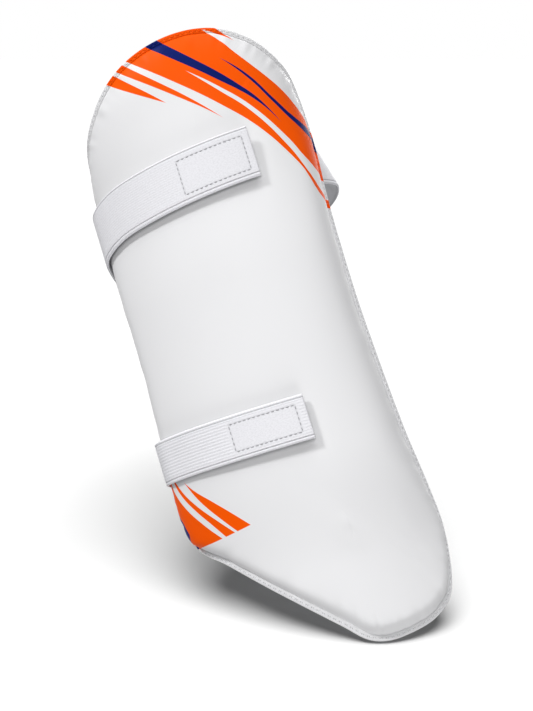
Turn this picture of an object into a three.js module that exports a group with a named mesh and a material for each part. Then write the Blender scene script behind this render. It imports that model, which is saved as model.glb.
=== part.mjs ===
// Cricket thigh guard: a crowned foam pad bent round the thigh, a thin back panel
// sewn to it along the rim, and two elastic straps that close on the front face.
// Units are millimetres, +Z runs up the thigh and the front face looks toward -Y.
// The origin is the middle of the leg side, where the guard sits on the thigh.

import * as THREE from 'three';
import { mergeVertices } from 'three/addons/utils/BufferGeometryUtils.js';

// Height of the seat on the thigh above the tip of the guard
const SEAT_HEIGHT = 205;

// Bend of the sheet on which pad and back panel meet: a wide front arc between two tighter side arcs
const FRONT_HALF_ANGLE = THREE.MathUtils.degToRad(35);
const FRONT_RADIUS_KNEE = 108;
const FRONT_RADIUS_HIP = 95;
const KNEE_HEIGHT = 100;
const HIP_HEIGHT = 340;
const SIDE_RADIUS = 47;

// Pad, measured outward from the sheet and inward from the rim
const FLANGE_WIDTH = 3.2;
const FLANGE_THICKNESS = 2;
const SEAM_WIDTH = 1.2;
const SEAM_DEPTH = 0.5;

// Thin pad at the tip, full pad from the knee up the thigh, and the thinner, flatter pad toward the hip
const TIP_PAD = { height: 50, crown: 8, roll: 8 };
const KNEE_PAD = { height: 120, crown: 13, roll: 15 };
const THIGH_PAD = { height: 240, crown: 13, roll: 15 };
const HIP_PAD = { height: 370, crown: 6, roll: 28 };
const ROLL_POWER = 2.4;

// Extra width of the gentler roll along the right side, and the heights over which it comes and goes
const RIGHT_ROLL = { extra: 12, riseFrom: 40, riseTo: 120, fallFrom: 230, fallTo: 330 };

// Back panel and the clearance between neighbouring pieces
const BACK_THICKNESS = 2.5;
const PIECE_GAP = 0.3;

// Straps and the touch fasteners under their ends
const STRAP_THICKNESS = 2.2;
const STRAP_SEWN_GAP = 1;
const STRAP_SHOULDER_GAP = 1;
const DROOP_FROM = -42;
const SHOULDER_SHARE = 0.3;
const LEAN_RISE = { from: 0.27, to: 0.42 };
const LEAN_FALL = { from: 0.88, to: 0.95 };
const FASTENER_THICKNESS = 1.8;
const FASTENER_INSET = 5.5;

// Flat pattern from the top to the tip: each station joins a point of the left rim
// and one of the right rim to the spine. Points are [across from the middle, up from the tip].
const STATIONS = [
  { left: [16, 402], right: [16, 402], spine: [13, 339] },
  { left: [-15, 397.5], right: [42, 398.5], spine: [12.75, 333.75] },
  { left: [-40, 387], right: [62, 388.5], spine: [10, 326] },
  { left: [-62, 371], right: [77, 376], spine: [7, 318] },
  { left: [-79, 356], right: [89, 363], spine: [4, 308] },
  { left: [-89, 338], right: [94, 342], spine: [2, 295] },
  { left: [-90.5, 312], right: [94, 318], spine: [0, 280] },
  { left: [-84.5, 270], right: [86, 275], spine: [0, 250] },
  { left: [-81, 215], right: [81.5, 215], spine: [0, 213] },
  { left: [-83, 165], right: [82, 165], spine: [0, 172] },
  { left: [-86.5, 122], right: [84.8, 117], spine: [2, 140] },
  { left: [-86.3, 102.5], right: [90.3, 80], spine: [6, 120] },
  { left: [-82.5, 87.2], right: [92.5, 57], spine: [12, 108] },
  { left: [-56, 70.2], right: [87.7, 33], spine: [18, 98] },
  { left: [-20, 40], right: [79, 14], spine: [23, 90] },
  { left: [6, 16], right: [64, 3.7], spine: [26, 83] },
  { left: [19, 3.5], right: [46, -0.3], spine: [27.8, 76.5] },
  { left: [30, -0.5], right: [30, -0.5], spine: [28, 69.5] },
];

// Each strap: height of its middle, rise toward its free end, droop by the square of the way past the
// left shoulder, and width; free end and sewn run on the pad; half widths, start, depth, drop at the
// left and lean of the loop behind the thigh; run of the touch fastener.
const STRAPS = [
  {
    name: 'upper', height: 307.5, rise: 0.09, droop: 0.007, width: 33,
    freeEnd: 38.5, sewnFrom: 72, sewnTo: 98,
    loopLeft: 76, loopRight: 74, loopStart: 84, loopDepth: 74, loopDrop: 14, loopLean: 14,
    fastenerFrom: -4, fastenerTo: 34,
  },
  {
    name: 'lower', height: 143, rise: -0.02, droop: 0.001, width: 28,
    freeEnd: 24, sewnFrom: 42, sewnTo: 62,
    loopLeft: 76.5, loopRight: 66, loopStart: 62, loopDepth: 74, loopDrop: 3, loopLean: 2,
    fastenerFrom: -18.5, fastenerTo: 18.5,
  },
];

const UP = new THREE.Vector3(0, 0, 1);

// Fineness of the meshes
const STATION_STEPS = 3;
const ROLL_SHARES = [0.12, 0.45, 1];
const FIELD_SHARES = [0.25, 0.5, 0.75, 1];
const STRAP_STEPS = 64;
const FASTENER_STEPS = 8;
const ROUTE_STEP = 9;
const LOOP_POINTS = 7;
const WELD_DISTANCE = 1e-4;

const SURFACES = {
  facing: new THREE.MeshStandardMaterial({ color: 0xf1f1f2, roughness: 0.42, metalness: 0 }),
  backing: new THREE.MeshStandardMaterial({ color: 0xe6e7ea, roughness: 0.8, metalness: 0 }),
  elastic: new THREE.MeshStandardMaterial({ color: 0xe3e3ea, roughness: 0.9, metalness: 0 }),
  fastener: new THREE.MeshStandardMaterial({ color: 0xe9e9ec, roughness: 0.95, metalness: 0 }),
};

// Bent sheet

function frontRadius(up) {
  const share = THREE.MathUtils.smoothstep(up, KNEE_HEIGHT, HIP_HEIGHT);
  return THREE.MathUtils.lerp(FRONT_RADIUS_KNEE, FRONT_RADIUS_HIP, share);
}

// Point of the sheet at a place of the flat pattern, lifted outward along its normal
function sheetPoint(across, up, lift) {
  const radius = frontRadius(up);
  const frontLength = radius * FRONT_HALF_ANGLE;
  const distance = Math.abs(across);
  const sideAngle = Math.max(distance - frontLength, 0) / SIDE_RADIUS;
  const frontAngle = Math.min(distance, frontLength) / radius;
  const turn = frontAngle + sideAngle;
  const x = radius * Math.sin(frontAngle) + SIDE_RADIUS * (Math.sin(turn) - Math.sin(frontAngle));
  const y = radius * (1 - Math.cos(frontAngle)) + SIDE_RADIUS * (Math.cos(frontAngle) - Math.cos(turn));
  const side = Math.sign(across);
  return new THREE.Vector3(side * (x + lift * Math.sin(turn)), y - lift * Math.cos(turn), up);
}

// Flat pattern

const flatPoint = ([across, up]) => new THREE.Vector3(across, up, 0);
const rightRim = STATIONS.map((station) => flatPoint(station.right));
const leftRim = STATIONS.slice(1, -1).map((station) => flatPoint(station.left)).reverse();
const rim = new THREE.CatmullRomCurve3([...rightRim, ...leftRim], true);
const spine = new THREE.CatmullRomCurve3(STATIONS.map((station) => flatPoint(station.spine)));
const rowCount = (STATIONS.length - 1) * STATION_STEPS;

// Places along one spoke, from the rim to the spine, at the given distances inside the rim
// and then at the shares of what is left
function spoke(side, row, reaches) {
  const share = row / rowCount;
  const turn = side > 0 ? share / 2 : (1 - share / 2) % 1;
  const start = rim.getPoint(turn);
  const end = spine.getPoint(share);
  const direction = end.clone().sub(start).normalize();
  const squareness = direction.clone().cross(rim.getTangent(turn)).length();
  const length = end.distanceTo(start) * squareness;
  const last = reaches.at(-1);
  const field = FIELD_SHARES.map((part) => THREE.MathUtils.lerp(last, length, part));
  return [...reaches, ...field].map((reach) => {
    const place = start.clone().addScaledVector(direction, reach / squareness);
    return { across: place.x, up: place.y, reach };
  });
}

// One face of a sheet piece: rows of lifted points for the left and the right half
function sheetFace(reaches, liftAt) {
  const half = (side) => Array.from({ length: rowCount + 1 }, (_, row) => (
    spoke(side, row, reaches).map((place) => sheetPoint(place.across, place.up, liftAt(place)))
  ));
  return { left: half(-1), right: half(1) };
}

// Closed solids

function addQuad(corners, [a, b, c, d], flipped) {
  const order = flipped ? [a, c, b, a, d, c] : [a, b, c, a, c, d];
  corners.push(...order);
}

function solidFromCorners(corners) {
  const geometry = new THREE.BufferGeometry().setFromPoints(corners);
  const welded = mergeVertices(geometry, WELD_DISTANCE);
  welded.computeVertexNormals();
  return welded;
}

// Solid between an outer and an inner face of the same pattern, closed by a wall along the rim
// The quads of the upper and the lower half are split so that no triangle lies along the end spokes
function sheetSolid(outer, inner) {
  const corners = [];
  for (const side of ['left', 'right']) {
    const onLeft = side === 'left';
    const addFace = (rows, flipped) => {
      for (let row = 0; row < rowCount; row += 1) {
        for (let step = 0; step + 1 < rows[row].length; step += 1) {
          const [near, far] = [rows[row], rows[row + 1]];
          const upperQuad = [near[step + 1], far[step + 1], far[step], near[step]];
          const lowerQuad = [near[step], near[step + 1], far[step + 1], far[step]];
          addQuad(corners, row < rowCount / 2 ? upperQuad : lowerQuad, flipped);
        }
      }
    };
    addFace(outer[side], onLeft);
    addFace(inner[side], !onLeft);
    for (let row = 0; row < rowCount; row += 1) {
      const [top, nextTop] = [outer[side][row][0], outer[side][row + 1][0]];
      const [bottom, nextBottom] = [inner[side][row][0], inner[side][row + 1][0]];
      addQuad(corners, [top, nextTop, nextBottom, bottom], onLeft);
    }
  }
  return solidFromCorners(corners);
}

// Band of rectangular section along a route, its outer face to the left hand of the way it runs.
// The section stands upright, apart from the lean of its upper edge inward at a share of the route.
function bandSolid(route, width, thickness, leanAt = () => 0) {
  const last = route.length - 1;
  const sections = route.map((point, index) => {
    const along = route[Math.min(index + 1, last)].clone().sub(route[Math.max(index - 1, 0)]).setZ(0);
    const lean = leanAt(index / last);
    const outward = new THREE.Vector3(-along.y, along.x, 0).normalize();
    const upward = UP.clone().multiplyScalar(Math.cos(lean)).addScaledVector(outward, -Math.sin(lean));
    outward.multiplyScalar(Math.cos(lean)).addScaledVector(UP, Math.sin(lean));
    return [[1, 1], [1, -1], [-1, -1], [-1, 1]].map(([out, up]) => point.clone()
      .addScaledVector(outward, out * thickness / 2)
      .addScaledVector(upward, up * width / 2));
  });
  const corners = [];
  for (let index = 0; index < last; index += 1) {
    const [here, there] = [sections[index], sections[index + 1]];
    for (let edge = 0; edge < here.length; edge += 1) {
      const next = (edge + 1) % here.length;
      addQuad(corners, [here[edge], here[next], there[next], there[edge]], true);
    }
  }
  addQuad(corners, sections[0], false);
  addQuad(corners, sections[last], true);
  return solidFromCorners(corners);
}

// Pad and back panel

const seamMiddle = FLANGE_WIDTH + SEAM_WIDTH / 2;
const seamEnd = FLANGE_WIDTH + SEAM_WIDTH;
const rollReaches = ROLL_SHARES.map((share) => seamEnd + share * THIGH_PAD.roll);
const crownReaches = [0, FLANGE_WIDTH, seamMiddle, seamEnd, ...rollReaches];
const flatReaches = [0, seamEnd, ...rollReaches.slice(1)];

// Crown or roll width of the pad at a height
function padSize(size, up) {
  const [low, high] = up < THIGH_PAD.height ? [TIP_PAD, KNEE_PAD] : [THIGH_PAD, HIP_PAD];
  const share = THREE.MathUtils.smoothstep(up, low.height, high.height);
  return THREE.MathUtils.lerp(low[size], high[size], share);
}

// Width of the pad's roll at a place
function rollWidth(across, up) {
  const rise = THREE.MathUtils.smoothstep(up, RIGHT_ROLL.riseFrom, RIGHT_ROLL.riseTo);
  const fall = THREE.MathUtils.smoothstep(up, RIGHT_ROLL.fallFrom, RIGHT_ROLL.fallTo);
  return padSize('roll', up) + (across > 0 ? RIGHT_ROLL.extra * (rise - fall) : 0);
}

// Height of the pad's face above the sheet: flange, stitched seam, rounded roll, then the level crown
function crownLift({ across, up, reach }) {
  if (reach === seamMiddle) return FLANGE_THICKNESS - SEAM_DEPTH;
  const share = THREE.MathUtils.clamp((reach - seamEnd) / rollWidth(across, up), 0, 1);
  const rise = 1 - (1 - share) ** ROLL_POWER;
  return THREE.MathUtils.lerp(FLANGE_THICKNESS, padSize('crown', up), rise);
}

function padFront() {
  return sheetSolid(sheetFace(crownReaches, crownLift), sheetFace(flatReaches, () => 0));
}

function backPanel() {
  const outer = sheetFace(flatReaches, () => -PIECE_GAP);
  const inner = sheetFace(flatReaches, () => -PIECE_GAP - BACK_THICKNESS);
  return sheetSolid(outer, inner);
}

// Straps and fasteners

const leftRimPoints = Array.from({ length: rowCount + 1 }, (_, row) => (
  rim.getPoint((1 - row / rowCount / 2) % 1)
));

function leftRimAt(up) {
  const row = leftRimPoints.findIndex((place) => place.x < 0 && place.y < up);
  const [above, below] = [leftRimPoints[row - 1], leftRimPoints[row]];
  return THREE.MathUtils.mapLinear(up, above.y, below.y, above.x, below.x);
}

function strapHeight(strap, across) {
  const past = Math.max(DROOP_FROM - across, 0);
  return strap.height + strap.rise * across - strap.droop * past ** 2;
}

// Highest lift of the pad's face under the width of a strap
function padUnderStrap(strap, across) {
  const middle = strapHeight(strap, across);
  const heights = [middle - strap.width / 2, middle, middle + strap.width / 2];
  return Math.max(...heights.map((up) => crownLift({ across, up, reach: across - leftRimAt(up) })));
}

function spacedValues(from, to, step) {
  const count = Math.max(Math.round(Math.abs(to - from) / step), 1);
  return Array.from({ length: count + 1 }, (_, index) => THREE.MathUtils.lerp(from, to, index / count));
}

// Route of a strap's middle line: from its free end over the face and down the left roll,
// round behind the thigh, and forward along the leg side of the right rim
function strapRoute(strap) {
  const half = STRAP_THICKNESS / 2;
  const fastenerGap = FASTENER_THICKNESS + 2 * PIECE_GAP;
  const shoulder = leftRimAt(strap.height) + seamEnd + SHOULDER_SHARE * padSize('roll', strap.height);
  const front = spacedValues(strap.freeEnd, shoulder, ROUTE_STEP).map((across) => {
    const share = THREE.MathUtils.smoothstep(across, shoulder, strap.fastenerFrom);
    const gap = THREE.MathUtils.lerp(STRAP_SHOULDER_GAP, fastenerGap, share);
    return sheetPoint(across, strapHeight(strap, across), padUnderStrap(strap, across) + gap + half);
  });
  const sewnLift = -PIECE_GAP - BACK_THICKNESS - STRAP_SEWN_GAP - half;
  const sewn = spacedValues(strap.sewnTo, strap.sewnFrom, ROUTE_STEP).map((across) => (
    sheetPoint(across, strap.height, sewnLift)
  ));
  const leftHeight = front.at(-1).z - strap.loopDrop;
  const loop = spacedValues(Math.PI, 0, Math.PI / (LOOP_POINTS - 1)).map((angle) => {
    const side = Math.cos(angle);
    const halfWidth = side < 0 ? strap.loopLeft : strap.loopRight;
    const y = strap.loopStart + strap.loopDepth * Math.sin(angle);
    const z = THREE.MathUtils.mapLinear(side, -1, 1, leftHeight, strap.height);
    return new THREE.Vector3(halfWidth * side, y, z);
  });
  return new THREE.CatmullRomCurve3([...front, ...loop, ...sewn]).getSpacedPoints(STRAP_STEPS);
}

// The loop leans all the way round the thigh, and the strap lies flat on the face and where it is sewn
function strapLean(strap) {
  const peak = THREE.MathUtils.degToRad(strap.loopLean);
  return (share) => {
    const rise = THREE.MathUtils.smoothstep(share, LEAN_RISE.from, LEAN_RISE.to);
    const fall = THREE.MathUtils.smoothstep(share, LEAN_FALL.from, LEAN_FALL.to);
    return peak * (rise - fall);
  };
}

function fastenerRoute(strap) {
  const length = strap.fastenerTo - strap.fastenerFrom;
  return spacedValues(strap.fastenerTo, strap.fastenerFrom, length / FASTENER_STEPS).map((across) => {
    const lift = padUnderStrap(strap, across) + PIECE_GAP + FASTENER_THICKNESS / 2;
    return sheetPoint(across, strapHeight(strap, across), lift);
  });
}

// Assembly

const guard = new THREE.Group();
guard.position.set(0, -PIECE_GAP - BACK_THICKNESS, -SEAT_HEIGHT);

function addPiece(name, geometry, material) {
  const piece = new THREE.Mesh(geometry, material);
  piece.name = name;
  guard.add(piece);
}

addPiece('pad_front', padFront(), SURFACES.facing);
addPiece('back_panel', backPanel(), SURFACES.backing);
for (const strap of STRAPS) {
  const fastenerWidth = strap.width - 2 * FASTENER_INSET;
  const strapBand = bandSolid(strapRoute(strap), strap.width, STRAP_THICKNESS, strapLean(strap));
  const fastenerBand = bandSolid(fastenerRoute(strap), fastenerWidth, FASTENER_THICKNESS);
  addPiece(`${strap.name}_strap`, strapBand, SURFACES.elastic);
  addPiece(`${strap.name}_fastener`, fastenerBand, SURFACES.fastener);
}

export default guard;
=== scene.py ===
"""A cricket thigh guard: a bent foam pad with a printed facing, a knitted lining and two elastic straps."""
import math

import bpy
import numpy as np
from mathutils import Matrix, Vector


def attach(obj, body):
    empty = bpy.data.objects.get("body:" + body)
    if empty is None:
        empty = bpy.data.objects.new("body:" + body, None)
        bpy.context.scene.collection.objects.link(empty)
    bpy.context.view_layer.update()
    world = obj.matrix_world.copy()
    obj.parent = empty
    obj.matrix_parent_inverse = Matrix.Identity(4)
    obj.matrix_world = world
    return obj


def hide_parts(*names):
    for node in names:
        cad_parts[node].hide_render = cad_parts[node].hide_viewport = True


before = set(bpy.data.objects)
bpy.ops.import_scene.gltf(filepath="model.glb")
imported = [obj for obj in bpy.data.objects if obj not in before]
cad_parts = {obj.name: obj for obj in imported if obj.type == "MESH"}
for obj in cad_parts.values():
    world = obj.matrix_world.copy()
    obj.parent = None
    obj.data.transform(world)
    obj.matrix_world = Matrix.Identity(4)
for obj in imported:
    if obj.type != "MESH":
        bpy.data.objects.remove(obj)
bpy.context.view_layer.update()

# Sizes are in millimetres on the flat pattern: across from the middle line, up from the tip,
# and lift outward from the sheet on which pad and lining meet
MM = 0.001
SEAT_HEIGHT = 205
FRONT_HALF_ANGLE = math.radians(35)
FRONT_RADIUS_KNEE = 108
FRONT_RADIUS_HIP = 95
KNEE_HEIGHT = 100
HIP_HEIGHT = 340
SIDE_RADIUS = 47

# Pad and lining
FLANGE_WIDTH = 3.2
FLANGE_THICKNESS = 2
SEAM_WIDTH = 1.2
SEAM_DEPTH = 0.5
SEAM_SPREAD = 0.5
SEAM_MIDDLE = FLANGE_WIDTH + SEAM_WIDTH / 2
SEAM_END = FLANGE_WIDTH + SEAM_WIDTH
EDGE_ROUND = 1.0
TIP_PAD = {"height": 50, "crown": 8, "roll": 8}
KNEE_PAD = {"height": 120, "crown": 13, "roll": 15}
THIGH_PAD = {"height": 240, "crown": 13, "roll": 15}
HIP_PAD = {"height": 370, "crown": 6, "roll": 28}
ROLL_POWER = 2.4
RIGHT_ROLL = {"extra": 12, "rise": (40, 120), "fall": (230, 330)}
PIECE_GAP = 0.3
LINING_THICKNESS = 2.5
LEG_SIDE = PIECE_GAP + LINING_THICKNESS

# Flat pattern from the top to the tip: left rim, right rim and spine, each (across, up)
STATIONS = [
    {"left": (16, 402), "right": (16, 402), "spine": (13, 339)},
    {"left": (-15, 397.5), "right": (42, 398.5), "spine": (12.75, 333.75)},
    {"left": (-40, 387), "right": (62, 388.5), "spine": (10, 326)},
    {"left": (-62, 371), "right": (77, 376), "spine": (7, 318)},
    {"left": (-79, 356), "right": (89, 363), "spine": (4, 308)},
    {"left": (-89, 338), "right": (94, 342), "spine": (2, 295)},
    {"left": (-90.5, 312), "right": (94, 318), "spine": (0, 280)},
    {"left": (-84.5, 270), "right": (86, 275), "spine": (0, 250)},
    {"left": (-81, 215), "right": (81.5, 215), "spine": (0, 213)},
    {"left": (-83, 165), "right": (82, 165), "spine": (0, 172)},
    {"left": (-86.5, 122), "right": (84.8, 117), "spine": (2, 140)},
    {"left": (-86.3, 102.5), "right": (90.3, 80), "spine": (6, 120)},
    {"left": (-82.5, 87.2), "right": (92.5, 57), "spine": (12, 108)},
    {"left": (-56, 70.2), "right": (87.7, 33), "spine": (18, 98)},
    {"left": (-20, 40), "right": (79, 14), "spine": (23, 90)},
    {"left": (6, 16), "right": (64, 3.7), "spine": (26, 83)},
    {"left": (19, 3.5), "right": (46, -0.3), "spine": (27.8, 76.5)},
    {"left": (30, -0.5), "right": (30, -0.5), "spine": (28, 69.5)},
]
ROWS_PER_STATION = 18
ROW_COUNT = (len(STATIONS) - 1) * ROWS_PER_STATION

# Straps: the same runs, loops and fastener places as the solids
STRAP_THICKNESS = 2.2
STRAP_SEWN_GAP = 1
STRAP_SHOULDER_GAP = 1
DROOP_FROM = -42
SHOULDER_SHARE = 0.3
LEAN_RISE = (0.27, 0.42)
LEAN_FALL = (0.88, 0.95)
FASTENER_THICKNESS = 1.8
FASTENER_INSET = 5.5
ROUTE_STEP = 9
LOOP_POINTS = 7
STRAPS = [
    {
        "name": "upper", "height": 307.5, "rise": 0.09, "droop": 0.007, "width": 33,
        "free_end": 38.5, "sewn_from": 72, "sewn_to": 98,
        "loop_left": 76, "loop_right": 74, "loop_start": 84, "loop_depth": 74,
        "loop_drop": 14, "loop_lean": 14,
        "fastener_from": -4, "fastener_to": 34, "rib_pitch": 1.5, "rib_depth": 0.03,
        "hems": [{"side": 1, "inset": 1.6, "depth": 0.32}, {"side": -1, "inset": 2.4, "depth": 0.4}],
    },
    {
        "name": "lower", "height": 143, "rise": -0.02, "droop": 0.001, "width": 28,
        "free_end": 24, "sewn_from": 42, "sewn_to": 62,
        "loop_left": 76.5, "loop_right": 66, "loop_start": 62, "loop_depth": 74,
        "loop_drop": 3, "loop_lean": 2,
        "fastener_from": -18.5, "fastener_to": 18.5, "rib_pitch": 1.9, "rib_depth": 0.07,
        "hems": [{"side": 1, "inset": 2.0, "depth": 0.3}, {"side": -1, "inset": 2.1, "depth": 0.4}],
    },
]
HEM_SPREAD = 0.35
BOX_DEPTH = 0.18
BOX_SPREAD = 0.35
RIB_FADE_AT_BOX = (0.5, 2.5)
RIB_FADE_AT_HEM = (0.4, 1.4)
STRAP_EDGE = 1.0

# Rim seam: distance inside the rim, stitches down each half, the size of a stitch, and the size of its needle
# holes with the painted shade in them
STITCH_REACH = 2.0
STITCH_SEAT = 0.2
STITCH_SPREAD = 0.6
HALF_STITCHES = 138
RIM_STITCH = {"length": 2.5, "radius": 0.36}
HOLE = {"radius": 0.45, "core": 1.6, "fade": 1.2, "tone": 0.62}

# Boxes of stitches on a strap: round its fastener, and on its sewn end
BOX_STITCH = {"pitch": 3.1, "length": 2.0, "radius": 0.27}
BOX_SEAT = 0.6 * BOX_DEPTH
BOX_SIDE_POINTS = 40
SEWN_BOX = {"inset": 3, "length": 13}

# Printed stripes in the order they are laid down: each lies between an upper and a lower edge,
# which run through places (across, up)
STRIPES = [
    {
        "paint": "orange",
        "upper": [(-30.2, 390.6), (-11.4, 370.9), (-0.9, 358.8)],
        "lower": [(-36.7, 387), (-10.3, 366), (-0.9, 358.8)],
    },
    {
        "paint": "orange",
        "upper": [(-21.6, 394), (-2.2, 373.7), (15.1, 354.9), (28.7, 338.2)],
        "lower": [(-27.2, 391.7), (-8, 374), (10.1, 356.9), (18.8, 348.6), (28.7, 338.2)],
    },
    {
        "paint": "orange",
        "upper": [
            (36, 396), (42, 388.5), (49, 378), (62, 361), (71.5, 348.5), (82, 333.5), (92.5, 322),
        ],
        "lower": [
            (-18.7, 395.4), (3.6, 373.8), (29.5, 347.4), (47.9, 325.7),
            (64.2, 297.8), (72.9, 275.1), (95, 270),
        ],
    },
    {
        "paint": "white",
        "upper": [
            (16.2, 374.4), (32.6, 358.2), (46.7, 342.1), (63.6, 314.8), (69.3, 302.2), (79, 291), (95, 287),
        ],
        "lower": [
            (16.2, 374.4), (31.9, 355.6), (45.6, 338.8), (61.8, 309.5), (68.6, 291), (75, 278.8), (95, 276),
        ],
    },
    {
        "paint": "navy",
        "upper": [(4.7, 400.4), (18.1, 385.4), (42.3, 359.1), (53.8, 344.1), (62.1, 327.8)],
        "lower": [(-3.4, 398.9), (12, 383.4), (29.4, 366.5), (53.1, 342.1), (62.1, 327.8)],
    },
    {
        "paint": "navy",
        "upper": [(38, 377), (53, 360.5), (62.5, 344.5), (71.5, 331.5), (85, 322)],
        "lower": [(38, 377), (52.5, 358), (61.5, 342), (70, 328), (84.5, 313)],
    },
    {
        "paint": "orange",
        "upper": [(41, 399), (51, 387.5)],
        "lower": [(31, 400.5), (42, 394), (51, 387.5)],
    },
]

# Fan of stripes below the lower strap, cut off along a line above the rim
FAN_STRIPES = [
    {
        "paint": "orange",
        "upper": [(-72, 134), (-70, 123.7), (-65.5, 113.3), (-56.7, 100.5), (-46, 87.5)],
        "lower": [(-95, 60), (-40, 60)],
    },
    {
        "paint": "navy",
        "upper": [(-78, 118), (-73, 107), (-69.5, 96)],
        "lower": [(-77.3, 86.8), (-72.4, 91.2), (-69.5, 96)],
    },
    {
        "paint": "orange",
        "upper": [(-66.3, 128.7), (-62.8, 121.4), (-57.5, 113.7), (-43.7, 97.2), (-36.3, 88.5)],
        "lower": [(-68, 129.1), (-65.8, 122.2), (-57.1, 107.8), (-51, 99.4), (-43.1, 87.6)],
    },
    {
        "paint": "orange",
        "upper": [(-61.3, 130), (-55.7, 122.6), (-43.7, 110.7), (-35.4, 101.9), (-25.5, 90.4)],
        "lower": [(-60.8, 130), (-57, 121.9), (-52.7, 114.1), (-41.2, 97.7), (-34.5, 88.8)],
    },
]
FAN_WINDOW = {
    "upper": [(-95, 131), (-20, 131)],
    "lower": [(-80, 85.6), (-57, 86.4), (-46, 87.5), (-25.5, 90.4)],
}

# Colours of the leather and of the print on it
PAINTS = {"white": (0.855, 0.855, 0.868), "orange": (1.0, 0.105, 0.001), "navy": (0.003, 0.012, 0.14)}


# Curves and small sums

def smoothstep(value, low, high):
    share = np.clip((value - low) / (high - low), 0, 1)
    return share * share * (3 - 2 * share)


def mix(low, high, share):
    return low + (high - low) * share


def spaced(start, end, step):
    count = max(round(abs(end - start) / step), 1)
    return np.linspace(start, end, count + 1)


def dip(distance, spread):
    """Rounded groove profile, 1 in the middle."""
    return np.exp(-(distance / spread) ** 2)


def running_length(points):
    """Length of a path from its first point to each of its points."""
    return np.concatenate([[0], np.cumsum(np.linalg.norm(np.diff(points, axis=0), axis=1))])


def interpolated(where, known, values):
    """Rows of values at places between the known ones."""
    return np.stack([np.interp(where, known, column) for column in values.T], -1)


class SmoothCurve:
    """Centripetal curve through points, open or closed, over shares from 0 to 1."""

    def __init__(self, points, closed=False):
        points = np.array(points, float)
        if closed:
            self.knots = np.vstack([points[-1], points, points[:2]])
        else:
            self.knots = np.vstack([2 * points[0] - points[1], points, 2 * points[-1] - points[-2]])
        self.spans = len(self.knots) - 3

    def at(self, share):
        place = np.asarray(share, float) * self.spans
        span = np.clip(np.floor(place).astype(int), 0, self.spans - 1)
        part = (place - span)[..., None]
        a, b, c, d = (self.knots[span + step] for step in range(4))
        ab, bc, cd = (np.sqrt(np.linalg.norm(gap, axis=-1, keepdims=True)) for gap in (b - a, c - b, d - c))
        leave = bc * ((b - a) / ab - (c - a) / (ab + bc) + (c - b) / bc)
        arrive = bc * ((c - b) / bc - (d - b) / (bc + cd) + (d - c) / cd)
        bend = 3 * (c - b) - 2 * leave - arrive
        twist = 2 * (b - c) + leave + arrive
        return b + part * (leave + part * (bend + part * twist))


# Bent sheet and flat pattern

def sheet_point(across, up, lift):
    """Place of the flat pattern on the bent sheet, in metres in the part's frame."""
    radius = mix(FRONT_RADIUS_KNEE, FRONT_RADIUS_HIP, smoothstep(up, KNEE_HEIGHT, HIP_HEIGHT))
    front_length = radius * FRONT_HALF_ANGLE
    distance = np.abs(across)
    front_angle = np.minimum(distance, front_length) / radius
    turn = front_angle + np.maximum(distance - front_length, 0) / SIDE_RADIUS
    x = radius * np.sin(front_angle) + SIDE_RADIUS * (np.sin(turn) - np.sin(front_angle))
    y = radius * (1 - np.cos(front_angle)) + SIDE_RADIUS * (np.cos(front_angle) - np.cos(turn))
    x, y = x + lift * np.sin(turn), y - lift * np.cos(turn)
    return np.stack([np.sign(across) * x, y - LEG_SIDE, up - SEAT_HEIGHT], -1) * MM


right_chain = [station["right"] for station in STATIONS]
left_chain = [station["left"] for station in STATIONS[1:-1]]
RIM = SmoothCurve(right_chain + left_chain[::-1], closed=True)
SPINE = SmoothCurve([station["spine"] for station in STATIONS])
TANGENT_STEP = 1e-4


def rim_share(side, share):
    return share / 2 if side > 0 else (1 - share / 2) % 1


def half_places(side, reaches, field, rows=ROW_COUNT):
    """Across, up and reach of one half: rows from the top to the tip, columns from the rim to the spine."""
    share = np.linspace(0, 1, rows + 1)
    turn = rim_share(side, share)
    start, end = RIM.at(turn), SPINE.at(share)
    along = RIM.at((turn + TANGENT_STEP) % 1) - RIM.at((turn - TANGENT_STEP) % 1)
    along /= np.linalg.norm(along, axis=1, keepdims=True)
    direction = end - start
    span = np.linalg.norm(direction, axis=1)
    direction /= span[:, None]
    squareness = np.abs(direction[:, 0] * along[:, 1] - direction[:, 1] * along[:, 0])
    edge = np.broadcast_to(reaches, (rows + 1, len(reaches)))
    inside = mix(reaches[-1], (span * squareness)[:, None], np.asarray(field)[None, :])
    reach = np.hstack([edge, inside])
    place = start[:, None] + direction[:, None] * (reach / squareness[:, None])[..., None]
    return place[..., 0], place[..., 1], reach


def pad_size(size, up):
    lower = mix(TIP_PAD[size], KNEE_PAD[size], smoothstep(up, TIP_PAD["height"], KNEE_PAD["height"]))
    upper = mix(THIGH_PAD[size], HIP_PAD[size], smoothstep(up, THIGH_PAD["height"], HIP_PAD["height"]))
    return np.where(up < THIGH_PAD["height"], lower, upper)


def roll_width(up, across):
    """Width of the pad's roll, gentler along the right side of the thigh."""
    along = smoothstep(up, *RIGHT_ROLL["rise"]) - smoothstep(up, *RIGHT_ROLL["fall"])
    return pad_size("roll", up) + np.where(across > 0, RIGHT_ROLL["extra"] * along, 0)


def crown_lift(up, reach, across):
    """Plain height of the pad's face above the sheet."""
    share = np.clip((reach - SEAM_END) / roll_width(up, across), 0, 1)
    return mix(FLANGE_THICKNESS, pad_size("crown", up), 1 - (1 - share) ** ROLL_POWER)


def rim_edge(reach):
    """How far a rounded edge falls below its face."""
    share = np.clip(reach / EDGE_ROUND, 0, 1)
    return EDGE_ROUND * (1 - np.sqrt(1 - (1 - share) ** 2))


def seam_depth(reach):
    seam = SEAM_DEPTH * dip(reach - SEAM_MIDDLE, SEAM_SPREAD)
    return seam + STITCH_SEAT * dip(reach - STITCH_REACH, STITCH_SPREAD)


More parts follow.
